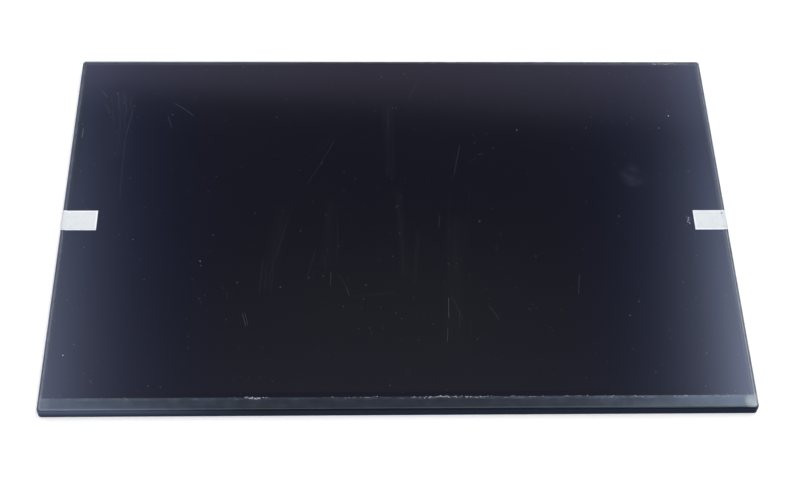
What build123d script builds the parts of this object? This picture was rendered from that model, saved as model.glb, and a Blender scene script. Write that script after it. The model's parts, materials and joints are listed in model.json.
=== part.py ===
from build123d import *
from math import radians, tan
import os

# A bare laptop display module that lies on its back, with the screen up.
# X runs along the lower edge, Y from the lower edge to the upper edge, Z from the back to the screen.
# The origin is in the middle of the back, and all sizes are in millimetres.

# Outline of the module, and the border from the outline to the picture area.
PANEL_WIDTH = 344.0
PANEL_DEPTH = 222.0
BORDER_SIDE = 6.4
BORDER_TOP = 5.2
BORDER_BOTTOM = 9.8

# Thickness of each layer, from the back to the screen. Their sum is the module's thickness.
COVER_GAP = 0.05
COVER = 0.15
COMPONENT_CLEARANCE = 0.1
BOARD = 0.6
BOARD_TAPE = 0.1
PLATE = 0.3
REFLECTOR = 0.2
GUIDE = 0.8
DIFFUSER = 0.15
PRISM_SHEET = 0.2
SHEET_CLEARANCE = 0.1
LEDGE = 0.5
CELL_TAPE = 0.1
GLASS = 0.5
LIP_CLEARANCE = 0.1
BEZEL_SHEET = 0.4
POLARIZER = 0.2

# Drawn steel bezel: its lips on the four sides, folds and corners.
LIP_SIDE = 1.8
LIP_TOP = 1.7
LIP_BOTTOM = 6.9
BEZEL_FOLD = 1.2
BEZEL_CORNER = 1.8
WINDOW_CORNER = 0.5
BEZEL_FOOT = 0.6

# Moulded main frame.
FRAME_CLEARANCE = 0.1
FRAME_TOP_GAP = 0.2
FILM_CHANNEL = 0.5
CELL_WALL = 0.95
RIM_WALL = 1.6
PLATE_SEAT_FRONT = 1.0
OPENING_MARGIN = 0.6
FILM_WALL_DROP = 0.3
FIT_GAP = 0.15
LOOSE_GAP = 0.3

# Snap nubs: those of the bezel stand in windows of its walls, those of the rear plate on the rim.
SNAP_LENGTH = 7.4
SNAP_HEIGHT = 1.1
SNAP_TIP = 0.3
SNAP_RISE = 2.7
SNAP_WINDOW_GAP = 0.3
SNAP_RECESS = 0.1
SIDE_SNAPS = (-85.0, -25.0, 25.0, 85.0)
BACK_SNAPS = (-120.0, -40.0, 40.0, 120.0)
PLATE_NUB_REACH = 0.6
PLATE_NUB_HEIGHT = 0.8
PLATE_NUB_SIDES = (-72.0, -20.0, 20.0, 72.0)
PLATE_NUB_BACKS = (-130.0, -65.0, 0.0, 65.0, 130.0)

# Pressed-in nuts for the screws at the sides, and the bosses that hold them.
NUT_PLACES = (-52.5, 52.5)
NUT_RISE = 2.1
NUT_RADIUS = 1.6
NUT_BORE = 0.8
NUT_LENGTH = 3.0
NUT_FIT = 0.02
BOSS_LENGTH = 7.0
SCREW_HOLE = 1.25

# Liquid-crystal cell.
FILTER_UNDER_LIP = 1.0
FACE_GAP = 0.15
REAR_POLARIZER_MARGIN = 0.3

# Edge light: guide, sheets with locating ears, strip with its tail, lamps and tape.
GUIDE_MARGIN = 1.4
GUIDE_LEAD = 2.2
SHEET_MARGIN = 0.7
EAR_PLACES = (-64.0, 64.0)
EAR_LENGTH = 6.0
EAR_REACH = 1.8
LED_STRIP = 0.2
LED_PITCH = 6.2
LED_LENGTH = 3.0
LED_DEPTH = 0.7
LED_HEIGHT = 0.7
LED_GAP = 0.1
LED_WINDOW = 2.2
LED_WINDOW_HEIGHT = 0.4
LED_WINDOW_DEPTH = 0.12
LED_TAPE = 0.1
LED_TAIL = 5.0
TAIL_BEND = 0.45
TAIL_SETBACK = 0.5

# Stamped rear plate with raised stiffening panels.
PLATE_CORNER = 2.0
STAMP_COUNT = 3
STAMP_DEPTH = 0.6
STAMP_CORNER = 8.0
STAMP_SPACING = 16.0
STAMP_MARGIN = 18.0
STAMP_ANGLE = 45.0

# Driver films that bend round the lower edge, and the board behind it.
FILM_COUNT = 8
FILM_WIDTH = 30.0
FILM = 0.15
FILM_BOND = 1.6
FILM_WINDOW_GAP = 0.5
CHIP_ON_FILM = (16.0, 1.3, 0.35)
BOARD_DEPTH = 18.0
BOARD_SETBACK = 2.3
BOARD_INSET = 2.0
BOARD_CORNER = 1.0
TAPE_INSET = 2.5

# Parts on the board: length, depth and height, and places along X from the middle.
CONTROLLER = (10.0, 10.0, 0.8)
CONTROLLER_PLACE = 10.0
POWER_CHIP = (5.0, 5.0, 0.8)
POWER_CHIP_PLACE = -42.0
MEMORY_CHIP = (4.0, 3.0, 0.7)
MEMORY_CHIP_PLACE = 28.0
INDUCTOR = (4.2, 4.2, 0.9)
INDUCTOR_PLACES = (-54.0, -32.0, -92.0)
INDUCTOR_CORNER = 0.9
CAPACITOR = (1.6, 0.8, 0.8)
RESISTOR = (1.0, 0.5, 0.4)
CAPACITOR_STEP = 6.0
RESISTOR_STEP = 2.0
PART_ROW = 1.2
LED_PLUG = (7.0, 3.4, 0.9)
LED_PLUG_SLOT = 2.2
LED_LATCH = (5.4, 1.0, 0.25)
LED_LATCH_SETBACK = 2.1
FOIL = 0.1
FOIL_WIDTH = 16.0
FOIL_LAP = 5.0
FOIL_PLACES = (-70.0, 66.0)

# Display connector: a moulded housing under a steel shell, with a row of contacts.
SIGNAL_FROM_END = 58.6
SIGNAL_HEIGHT = 1.0
SIGNAL_WIDTH = 22.0
SIGNAL_DEPTH = 3.4
SIGNAL_SETBACK = 0.4
SIGNAL_SHELL = 0.12
SIGNAL_ROOF = 0.28
SIGNAL_WALL = 1.0
SIGNAL_BACK = 0.9
CONTACT_COUNT = 30
CONTACT_PITCH = 0.6
CONTACT_WIDTH = 0.24
CONTACT = 0.1
CONTACT_LIFT = 0.2
CONTACT_TAIL = 0.8

# Cover film over the board, with a fold onto the rear plate and a notch for the plug.
COVER_LAP = 1.0
COVER_OVERHANG = 1.5
COVER_FOLD_LEAD = 2.2
COVER_SLOPE = 1.5
COVER_FLANGE = 4.5
COVER_BEND = 0.4
COVER_NOTCH_GAP = 2.5

# White tape tabs over the left and right edges.
TAB = 0.12
TAB_GAP = 0.03
TAB_WIDTH = 12.4
TAB_LEFT_REACH = 18.2
TAB_RIGHT_REACH = 17.1
TAB_LEFT_PLACE = 0.9
TAB_RIGHT_PLACE = 0.4
TAB_DROP = 3.6
TAB_RAMP = 0.7
TAB_BEND = 0.3

# Levels along Z, from the back to the screen.
tallest_part = max(
    SIGNAL_HEIGHT, CONTROLLER[2], POWER_CHIP[2], MEMORY_CHIP[2], INDUCTOR[2], CAPACITOR[2], LED_PLUG[2]
)
cover_front = COVER_GAP + COVER
board_rear = cover_front + COMPONENT_CLEARANCE + tallest_part
board_front = board_rear + BOARD
plate_rear = board_front + BOARD_TAPE
plate_front = plate_rear + PLATE
guide_rear = plate_front + REFLECTOR
guide_front = guide_rear + GUIDE
lower_prism_rear = guide_front + DIFFUSER
upper_prism_rear = lower_prism_rear + PRISM_SHEET
top_diffuser_rear = upper_prism_rear + PRISM_SHEET
sheets_front = top_diffuser_rear + DIFFUSER
ledge_rear = sheets_front + SHEET_CLEARANCE
ledge_front = ledge_rear + LEDGE
array_rear = ledge_front + CELL_TAPE
filter_rear = array_rear + GLASS
filter_front = filter_rear + GLASS
face_front = filter_front + POLARIZER
lip_rear = filter_front + LIP_CLEARANCE
panel_front = lip_rear + BEZEL_SHEET

# Limits along X and Y. Front is the lower edge of the picture, back its upper edge.
edge_x = PANEL_WIDTH / 2
edge_y = PANEL_DEPTH / 2
wall_x = edge_x - BEZEL_SHEET
wall_y = edge_y - BEZEL_SHEET
lip_x = edge_x - LIP_SIDE
lip_y = (-edge_y + LIP_BOTTOM, edge_y - LIP_TOP)
frame_x = wall_x - FRAME_CLEARANCE
frame_y = (-wall_y + FILM_CHANNEL, wall_y - FRAME_CLEARANCE)
rim_x = frame_x - RIM_WALL
rim_y = (frame_y[0] + RIM_WALL, frame_y[1] - RIM_WALL)
picture_x = edge_x - BORDER_SIDE
picture_y = (-edge_y + BORDER_BOTTOM, edge_y - BORDER_TOP)
opening_x = picture_x + OPENING_MARGIN
opening_y = (picture_y[0] - OPENING_MARGIN, picture_y[1] + OPENING_MARGIN)
glass_x = frame_x - CELL_WALL - FIT_GAP
array_y = (frame_y[0] + CELL_WALL + FIT_GAP, frame_y[1] - CELL_WALL - FIT_GAP)
filter_y = (lip_y[0] - FILTER_UNDER_LIP, array_y[1])
guide_x = picture_x + GUIDE_MARGIN
guide_y = (picture_y[0] - GUIDE_LEAD, picture_y[1] + GUIDE_MARGIN)
pocket_x = guide_x + LOOSE_GAP
pocket_y = (rim_y[0] + PLATE_SEAT_FRONT, guide_y[1] + LOOSE_GAP)
sheet_x = picture_x + SHEET_MARGIN
sheet_y = (picture_y[0] - SHEET_MARGIN, picture_y[1] + SHEET_MARGIN)
ear_x = sheet_x + EAR_REACH
led_y = (guide_y[0] - LED_GAP - LED_DEPTH, guide_y[0] - LED_GAP)
strip_y = (pocket_y[0] + FIT_GAP, led_y[1])
plate_x = rim_x - FIT_GAP
plate_y = (rim_y[0] + FIT_GAP, rim_y[1] - FIT_GAP)
board_x = picture_x - BOARD_INSET
board_y = (rim_y[0] + BOARD_SETBACK, rim_y[0] + BOARD_SETBACK + BOARD_DEPTH)
film_end = board_y[0] + FILM_BOND
film_pitch = 2 * picture_x / FILM_COUNT
film_places = [(number - (FILM_COUNT - 1) / 2) * film_pitch for number in range(FILM_COUNT)]
film_inner_y = -wall_y + (FILM_CHANNEL + FILM) / 2
film_bend = (FILM_CHANNEL - FILM) / 2 + FILM
tail_place = (film_places[0] + film_places[1]) / 2
tail_y = strip_y[0] + TAIL_SETBACK
plug_y = (film_end + SIGNAL_SETBACK, film_end + SIGNAL_SETBACK + LED_PLUG[1])
plug_slot_front = board_rear - (LED_PLUG[2] - LED_STRIP) / 2
cover_x = board_x + COVER_OVERHANG
cover_y = frame_y[0] + RIM_WALL - COVER_LAP
fold_y = board_y[1] + COVER_FOLD_LEAD
flange_y = fold_y + COVER_SLOPE + COVER_FLANGE
signal_x = board_x - SIGNAL_FROM_END
signal_y = (board_y[1] - SIGNAL_SETBACK - SIGNAL_DEPTH, board_y[1] - SIGNAL_SETBACK)


def slab(x_span, y_span, z_span, corner=0.0):
    """Flat piece between its limits along X, Y and Z, with its plan corners rounded."""
    width = x_span[1] - x_span[0]
    depth = y_span[1] - y_span[0]
    outline = RectangleRounded(width, depth, corner) if corner > 0 else Rectangle(width, depth)
    place = Pos((x_span[0] + x_span[1]) / 2, (y_span[0] + y_span[1]) / 2, z_span[0])
    return extrude(place * outline, amount=z_span[1] - z_span[0])


def even(half):
    """Limits that lie the same way on both sides of the middle."""
    return (-half, half)


def around(middle, length):
    """Limits of a length centred on a place."""
    return (middle - length / 2, middle + length / 2)


def bent_sheet(points, radius, thickness, side, plane, width):
    """Sheet of even thickness along a path of points in a plane, with its corners bent round."""
    path = FilletPolyline(*points, radius=radius)
    profile = make_face(offset(path, amount=thickness, side=side))
    return extrude(plane * profile, amount=width / 2, both=True)


def rounded_cap(half_x, half_y, z_span, corner, fold):
    """Block with rounded plan corners and a rounded edge all round its front face."""
    block = slab(even(half_x), even(half_y), z_span, corner)
    return fillet(block.faces().sort_by(Axis.Z)[-1].edges(), fold)


def on_both_sides(piece):
    """A piece and its mirror image on the other side of the module."""
    return [piece, mirror(piece, about=Plane.YZ)]


def make_bezel():
    """Drawn frame: rounded cap, hollowed to the sheet's thickness, with its window and wall holes."""
    shell = rounded_cap(edge_x, edge_y, (BEZEL_FOOT, panel_front), BEZEL_CORNER, BEZEL_FOLD)
    hollow = rounded_cap(
        wall_x, wall_y, (0, lip_rear), BEZEL_CORNER - BEZEL_SHEET, BEZEL_FOLD - BEZEL_SHEET
    )
    window = slab(even(lip_x), lip_y, (array_rear, panel_front + 1), WINDOW_CORNER)
    holes = []
    snap_z = (SNAP_RISE - SNAP_WINDOW_GAP, SNAP_RISE + SNAP_HEIGHT + SNAP_WINDOW_GAP)
    snap_length = SNAP_LENGTH + 2 * SNAP_WINDOW_GAP
    for place in SIDE_SNAPS:
        holes += on_both_sides(slab((frame_x, edge_x + 1), around(place, snap_length), snap_z))
    for place in BACK_SNAPS:
        holes.append(slab(around(place, snap_length), (frame_y[1], edge_y + 1), snap_z))
    for place in NUT_PLACES:
        drill = Pos(wall_x, place, NUT_RISE) * Rot(0, 90, 0) * Cylinder(SCREW_HOLE, 4 * BEZEL_SHEET)
        holes += on_both_sides(drill)
    return shell - hollow - window - holes


def bezel_nub():
    """Ramped nub on the frame's right wall that clicks into a window of the bezel."""
    tip = frame_x + FRAME_CLEARANCE + BEZEL_SHEET - SNAP_RECESS
    profile = Polyline(
        (rim_x, SNAP_RISE),
        (tip, SNAP_RISE),
        (tip, SNAP_RISE + SNAP_TIP),
        (frame_x, SNAP_RISE + SNAP_HEIGHT),
        (rim_x, SNAP_RISE + SNAP_HEIGHT),
        close=True,
    )
    return extrude(Plane.XZ * make_face(profile), amount=SNAP_LENGTH / 2, both=True)


def plate_nub():
    """Ramped nub on the rim's right wall that holds the rear plate on its seat."""
    profile = Polyline(
        (frame_x - RIM_WALL / 2, plate_rear),
        (rim_x - PLATE_NUB_REACH, plate_rear),
        (rim_x, plate_rear - PLATE_NUB_HEIGHT),
        (frame_x - RIM_WALL / 2, plate_rear - PLATE_NUB_HEIGHT),
        close=True,
    )
    return extrude(Plane.XZ * make_face(profile), amount=SNAP_LENGTH / 2, both=True)


def make_frame():
    """Stepped moulding: cell seat in front, ledge, light guide pocket, plate seat and board bay behind."""
    frame_top = lip_rear - FRAME_TOP_GAP
    corner = BEZEL_CORNER - BEZEL_SHEET - FRAME_CLEARANCE
    body = slab(even(frame_x), frame_y, (0, frame_top), corner)
    body = fillet(body.faces().sort_by(Axis.Z)[-1].edges(), BEZEL_FOLD - BEZEL_SHEET)
    cell_y = (array_y[0] - FIT_GAP, array_y[1] + FIT_GAP)
    cell_seat = slab(even(glass_x + FIT_GAP), cell_y, (ledge_front, frame_top + 1))
    opening = slab(even(opening_x), opening_y, (plate_front, frame_top + 1))
    pocket = slab(even(pocket_x), pocket_y, (plate_front, ledge_rear))
    recess = slab(even(rim_x), rim_y, (-1, plate_front), PLATE_CORNER)
    film_row = film_places[-1] + FILM_WIDTH / 2 + FILM_WINDOW_GAP
    film_wall = slab(even(film_row), (-edge_y, array_y[0]), (filter_rear - FILM_WALL_DROP, frame_top + 1))
    cover_seat = slab(even(cover_x + FIT_GAP), (cover_y - FIT_GAP, rim_y[0] + 1), (-1, cover_front))
    frame = body - cell_seat - opening - pocket - recess - film_wall - cover_seat

    film_window_z = (-1, board_rear + film_bend)
    film_window_y = (-edge_y, rim_y[0] + 1)
    windows = []
    for place in film_places:
        film_window_x = around(place, FILM_WIDTH + 2 * FILM_WINDOW_GAP)
        windows.append(slab(film_window_x, film_window_y, film_window_z))
    for place in EAR_PLACES:
        ear_y = around(place, EAR_LENGTH + 2 * LOOSE_GAP)
        windows += on_both_sides(slab((picture_x, ear_x + LOOSE_GAP), ear_y, (plate_front, ledge_rear)))
    frame -= windows

    extras = []
    for place in SIDE_SNAPS:
        extras += on_both_sides(Pos(0, place, 0) * bezel_nub())
    for place in PLATE_NUB_SIDES:
        extras += on_both_sides(Pos(0, place, 0) * plate_nub())
    turn = Rot(0, 0, 90)
    for place in BACK_SNAPS:
        extras.append(Pos(place, frame_y[1] - frame_x, 0) * turn * bezel_nub())
    for place in PLATE_NUB_BACKS:
        extras.append(Pos(place, frame_y[1] - frame_x, 0) * turn * plate_nub())
    for place in NUT_PLACES:
        boss = slab((pocket_x, frame_x - RIM_WALL / 2), around(place, BOSS_LENGTH), (0, plate_front))
        extras += on_both_sides(boss)
    frame += extras

    nut_holes = []
    for place in NUT_PLACES:
        nut_holes += on_both_sides(nut_body(place, NUT_RADIUS + NUT_FIT))
    return frame - nut_holes


def nut_body(place, radius):
    """Cylinder of a nut's length that ends flush with the frame's right wall."""
    middle = frame_x - NUT_LENGTH / 2
    return Pos(middle, place, NUT_RISE) * Rot(0, 90, 0) * Cylinder(radius, NUT_LENGTH)


def make_nuts():
    """Four round nuts, two on each side."""
    nuts = []
    for place in NUT_PLACES:
        nuts += on_both_sides(nut_body(place, NUT_RADIUS) - nut_body(place, NUT_BORE))
    return nuts


def stamped_panel(x_middle, y_middle, length, depth, level):
    """Tapered block of a raised panel that leaves a sheet's face towards the back."""
    base = Plane((x_middle, y_middle, level), x_dir=(1, 0, 0), z_dir=(0, 0, -1))
    outline = base * RectangleRounded(length, depth, STAMP_CORNER)
    return extrude(outline, amount=STAMP_DEPTH, taper=STAMP_ANGLE)


def make_plate():
    """Aluminium back with raised panels, notched for the nut bosses and the light strip's tail."""
    plate = slab(even(plate_x), plate_y, (plate_rear, plate_front), PLATE_CORNER)
    panel_y = (flange_y + STAMP_MARGIN, plate_y[1] - STAMP_MARGIN)
    row = 2 * (plate_x - STAMP_MARGIN)
    length = (row - (STAMP_COUNT - 1) * STAMP_SPACING) / STAMP_COUNT
    inset = PLATE * tan(radians(STAMP_ANGLE / 2))
    y_middle = (panel_y[0] + panel_y[1]) / 2
    depth = panel_y[1] - panel_y[0]
    for number in range(STAMP_COUNT):
        x_middle = (number - (STAMP_COUNT - 1) / 2) * (length + STAMP_SPACING)
        plate += stamped_panel(x_middle, y_middle, length, depth, plate_rear)
        plate -= stamped_panel(x_middle, y_middle, length - 2 * inset, depth - 2 * inset, plate_front)
    notches = []
    notch_z = (0, guide_rear)
    for place in NUT_PLACES:
        boss_y = around(place, BOSS_LENGTH + 2 * LOOSE_GAP)
        notches += on_both_sides(slab((pocket_x - LOOSE_GAP, edge_x), boss_y, notch_z))
    tail_notch_y = (-edge_y, tail_y + LED_STRIP + TAIL_BEND + LOOSE_GAP)
    notches.append(slab(around(tail_place, LED_TAIL + 4 * LOOSE_GAP), tail_notch_y, notch_z))
    return plate - notches


def make_sheet(z_span):
    """Optical sheet with two locating ears on each side."""
    sheet = slab(even(sheet_x), sheet_y, z_span)
    for place in EAR_PLACES:
        sheet += on_both_sides(slab((picture_x, ear_x), around(place, EAR_LENGTH), z_span))
    return sheet


def make_cell_tape():
    """Adhesive frame between the ledge and the rear glass."""
    outer_y = (array_y[0] + LOOSE_GAP, array_y[1] - LOOSE_GAP)
    inner_y = (opening_y[0] - FIT_GAP, opening_y[1] + FIT_GAP)
    ring = slab(even(glass_x - LOOSE_GAP), outer_y, (ledge_front, array_rear))
    return ring - slab(even(opening_x + FIT_GAP), inner_y, (ledge_front - 1, array_rear + 1))


def make_led_strip():
    """Flat flexible strip under the lamps, with a tail that folds round the rear plate's edge."""
    strip = slab(even(guide_x), strip_y, (plate_front, plate_front + LED_STRIP))
    tail_root = tail_y + LED_STRIP + TAIL_BEND + TAIL_SETBACK
    cut_y = (strip_y[0] - 1, tail_root)
    strip -= slab(around(tail_place, LED_TAIL + 2 * LOOSE_GAP), cut_y, (plate_rear, guide_front))
    inner_y = tail_y + LED_STRIP
    tail = bent_sheet(
        (
            (led_y[0], plate_front),
            (inner_y, plate_front),
            (inner_y, plug_slot_front),
            (plug_y[0] + LED_PLUG_SLOT - FIT_GAP, plug_slot_front),
        ),
        TAIL_BEND,
        LED_STRIP,
        Side.RIGHT,
        Plane.YZ,
        LED_TAIL,
    )
    return strip + Pos(tail_place, 0, 0) * tail


def make_leds():
    """Row of side-emitting lamps, each with a shallow window towards the light guide."""
    count = int(2 * picture_x / LED_PITCH)
    level = plate_front + LED_STRIP
    lamp = slab(even(LED_LENGTH / 2), led_y, (level, level + LED_HEIGHT))
    window_z = around(level + LED_HEIGHT / 2, LED_WINDOW_HEIGHT)
    lamp -= slab(even(LED_WINDOW / 2), (led_y[1] - LED_WINDOW_DEPTH, led_y[1] + 1), window_z)
    return [Pos((number - (count - 1) / 2) * LED_PITCH, 0, 0) * lamp for number in range(count)]


def make_films():
    """Driver films, bonded to the rear glass in front and to the board behind."""
    film = bent_sheet(
        (
            (filter_y[0] - LOOSE_GAP, filter_rear),
            (film_inner_y, filter_rear),
            (film_inner_y, board_rear),
            (film_end, board_rear),
        ),
        film_bend,
        FILM,
        Side.RIGHT,
        Plane.YZ,
        FILM_WIDTH,
    )
    return [Pos(place, 0, 0) * film for place in film_places]


def make_film_chips():
    """A long thin chip on each driver film, between the rim and the board."""
    length, depth, height = CHIP_ON_FILM
    chip_y = around((rim_y[0] + board_y[0]) / 2, depth)
    level = board_rear - FILM
    chip = slab(even(length / 2), chip_y, (level - height, level))
    return [Pos(place, 0, 0) * chip for place in film_places]


def on_board(size, place, y_middle, corner=0.0):
    """Block of a board part that stands on the board's rear face."""
    length, depth, height = size
    return slab(around(place, length), around(y_middle, depth), (board_rear - height, board_rear), corner)


def make_led_plug():
    """Plug-in point of the light strip's tail, with its slot and the recess of its latch."""
    body = on_board(LED_PLUG, tail_place, (plug_y[0] + plug_y[1]) / 2)
    slot_z = around(plug_slot_front - LED_STRIP / 2, LED_STRIP + FIT_GAP / 2)
    slot_y = (plug_y[0] - 1, plug_y[0] + LED_PLUG_SLOT)
    slot = slab(around(tail_place, LED_TAIL + FIT_GAP), slot_y, slot_z)
    return body - slot - led_latch(FIT_GAP / 2)


def led_latch(gap):
    """Bar in the recess on the plug's rear face, grown by a gap for the recess itself."""
    length, depth, height = LED_LATCH
    level = board_rear - LED_PLUG[2]
    bar_y = around(plug_y[0] + LED_LATCH_SETBACK, depth + 2 * gap)
    return slab(around(tail_place, length + 2 * gap), bar_y, (level, level + height))


def arch(width, height, roof, wall, y_span):
    """Roof on two walls that stand on the board's rear face."""
    block = slab(around(signal_x, width), y_span, (board_rear - height, board_rear))
    room_z = (board_rear - height + roof, board_rear + 1)
    return block - slab(around(signal_x, width - 2 * wall), (y_span[0] - 1, y_span[1] + 1), room_z)


def make_signal_housing():
    """Moulded arch open towards the upper edge, with a back wall over the contacts."""
    height = SIGNAL_HEIGHT - SIGNAL_SHELL
    housing = arch(SIGNAL_WIDTH, height, SIGNAL_ROOF, SIGNAL_WALL, signal_y)
    back_z = (board_rear - height, board_rear - CONTACT - FIT_GAP / 2)
    return housing + slab(around(signal_x, SIGNAL_WIDTH), (signal_y[0], signal_y[0] + SIGNAL_BACK), back_z)


def make_signal_contacts():
    """Row of spring contacts: soldered tail behind, raised tongue in the mouth."""
    tail = signal_y[0] - CONTACT_TAIL
    rise = signal_y[0] + SIGNAL_BACK + FIT_GAP
    tip = signal_y[1] - SIGNAL_SETBACK
    path = Polyline(
        (tail, board_rear),
        (rise, board_rear),
        (rise + 2 * CONTACT_LIFT, board_rear - CONTACT_LIFT),
        (tip, board_rear - CONTACT_LIFT),
        (tip, board_rear - CONTACT_LIFT - CONTACT),
        (rise + CONTACT_LIFT, board_rear - CONTACT_LIFT - CONTACT),
        (rise - CONTACT / 2, board_rear - CONTACT),
        (tail, board_rear - CONTACT),
        close=True,
    )
    contact = extrude(Plane.YZ * make_face(path), amount=CONTACT_WIDTH / 2, both=True)
    first = signal_x - (CONTACT_COUNT - 1) / 2 * CONTACT_PITCH
    return [Pos(first + number * CONTACT_PITCH, 0, 0) * contact for number in range(CONTACT_COUNT)]


def make_foils():
    """Foils that ground the board's far edge on the rear plate."""
    foil = bent_sheet(
        (
            (board_y[1] - FOIL_LAP, board_rear),
            (board_y[1] + LOOSE_GAP, board_rear),
            (board_y[1] + LOOSE_GAP, plate_rear),
            (fold_y, plate_rear),
        ),
        FOIL,
        FOIL,
        Side.RIGHT,
        Plane.YZ,
        FOIL_WIDTH,
    )
    return [Pos(place, 0, 0) * foil for place in FOIL_PLACES]


def make_board_cover():
    """Formed film over the board bay, folded onto the rear plate and notched for the plug."""
    cover = bent_sheet(
        (
            (cover_y, COVER_GAP),
            (fold_y, COVER_GAP),
            (fold_y + COVER_SLOPE, plate_rear - COVER),
            (flange_y, plate_rear - COVER),
        ),
        COVER_BEND,
        COVER,
        Side.LEFT,
        Plane.YZ,
        2 * cover_x,
    )
    notch_x = around(signal_x, SIGNAL_WIDTH + 2 * COVER_NOTCH_GAP)
    notch_y = (signal_y[0] - CONTACT_TAIL - LOOSE_GAP, flange_y + 1)
    return cover - slab(notch_x, notch_y, (-1, plate_front))


def make_tape_tab(reach, place):
    """Tape on the right edge: flat on the screen, up onto the lip, round the fold and down the wall."""
    low = face_front + TAB_GAP
    high = panel_front + TAB_GAP
    outside = edge_x + TAB_GAP
    tab = bent_sheet(
        (
            (edge_x - reach, low),
            (lip_x - TAB_RAMP, low),
            (lip_x, high),
            (outside, high),
            (outside, panel_front - TAB_DROP),
        ),
        (TAB_BEND, TAB_BEND, BEZEL_FOLD + TAB_GAP),
        TAB,
        Side.LEFT,
        Plane.XZ,
        TAB_WIDTH,
    )
    return Pos(0, place, 0) * tab


board_middle = (board_y[0] + board_y[1]) / 2
part_row_y = film_end + PART_ROW
face_x = min(lip_x, glass_x) - FACE_GAP
face_y = (lip_y[0] + FACE_GAP, min(lip_y[1], array_y[1]) - FACE_GAP)
rear_film_x = picture_x + REAR_POLARIZER_MARGIN
rear_film_y = (picture_y[0] - REAR_POLARIZER_MARGIN, picture_y[1] + REAR_POLARIZER_MARGIN)
board_tape_y = (board_y[0] + TAPE_INSET, board_y[1] - TAPE_INSET)
led_tape_y = (strip_y[0], sheet_y[0] - LOOSE_GAP)
pairs = (-1, 1)

nodes = {
    "front_bezel": make_bezel(),
    "front_polarizer": slab(even(face_x), face_y, (filter_front, face_front)),
    "color_filter_glass": slab(even(glass_x), filter_y, (filter_rear, filter_front)),
    "array_glass": slab(even(glass_x), array_y, (array_rear, filter_rear)),
    "rear_polarizer": slab(even(rear_film_x), rear_film_y, (array_rear - POLARIZER, array_rear)),
    "cell_tape": make_cell_tape(),
    "main_frame": make_frame(),
    "top_diffuser": make_sheet((top_diffuser_rear, sheets_front)),
    "upper_prism_sheet": make_sheet((upper_prism_rear, top_diffuser_rear)),
    "lower_prism_sheet": make_sheet((lower_prism_rear, upper_prism_rear)),
    "bottom_diffuser": make_sheet((guide_front, lower_prism_rear)),
    "light_guide": slab(even(guide_x), guide_y, (guide_rear, guide_front)),
    "reflector_sheet": slab(even(guide_x), guide_y, (plate_front, guide_rear)),
    "led_strip": make_led_strip(),
    "leds": make_leds(),
    "led_tape": slab(even(guide_x), led_tape_y, (guide_front, guide_front + LED_TAPE)),
    "rear_plate": make_plate(),
    "side_nuts": make_nuts(),
    "source_films": make_films(),
    "source_chips": make_film_chips(),
    "driver_board": slab(even(board_x), board_y, (board_rear, board_front), BOARD_CORNER),
    "board_tape": slab(even(board_x - TAPE_INSET), board_tape_y, (board_front, plate_rear)),
    "timing_controller": on_board(CONTROLLER, CONTROLLER_PLACE, board_middle),
    "power_chip": on_board(POWER_CHIP, POWER_CHIP_PLACE, board_middle),
    "memory_chip": on_board(MEMORY_CHIP, MEMORY_CHIP_PLACE, board_middle),
    "inductors": [on_board(INDUCTOR, place, board_middle, INDUCTOR_CORNER) for place in INDUCTOR_PLACES],
    "capacitors": [
        on_board(CAPACITOR, place + side * CAPACITOR_STEP, part_row_y)
        for place in film_places
        for side in pairs
    ],
    "resistors": [
        on_board(RESISTOR, place + side * RESISTOR_STEP, part_row_y)
        for place in film_places
        for side in pairs
    ],
    "led_connector": make_led_plug(),
    "led_connector_latch": led_latch(0),
    "signal_housing": make_signal_housing(),
    "signal_shell": arch(
        SIGNAL_WIDTH + 2 * SIGNAL_SHELL, SIGNAL_HEIGHT, SIGNAL_SHELL, SIGNAL_SHELL, signal_y
    ),
    "signal_contacts": make_signal_contacts(),
    "ground_foils": make_foils(),
    "board_cover": make_board_cover(),
    "left_tape_tab": mirror(make_tape_tab(TAB_LEFT_REACH, TAB_LEFT_PLACE), about=Plane.YZ),
    "right_tape_tab": make_tape_tab(TAB_RIGHT_REACH, TAB_RIGHT_PLACE),
}

os.makedirs("parts", exist_ok=True)
for name, shape in nodes.items():
    piece = Compound(children=shape) if isinstance(shape, list) else shape
    export_step(piece, f"parts/{name}.step")
    print(name, round(piece.volume, 2))
print("thickness", round(panel_front, 3))
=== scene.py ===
# %% [markdown]
# # Dressing a bare laptop screen panel
# The object is the screen part of a laptop, taken out and laid on its back: a dark film over glass, a
# thin painted steel bezel, two white tape tabs, and behind them the light sheets and the driver board.
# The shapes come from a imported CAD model, which is loaded as a fixed frame and never moved. What Blender
# adds is the finish: paint, film, tape, scratches, dust, and the light of a small studio.

# %% Load the panel
import json
import math
import random

import bpy
from mathutils import Matrix, Vector


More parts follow.
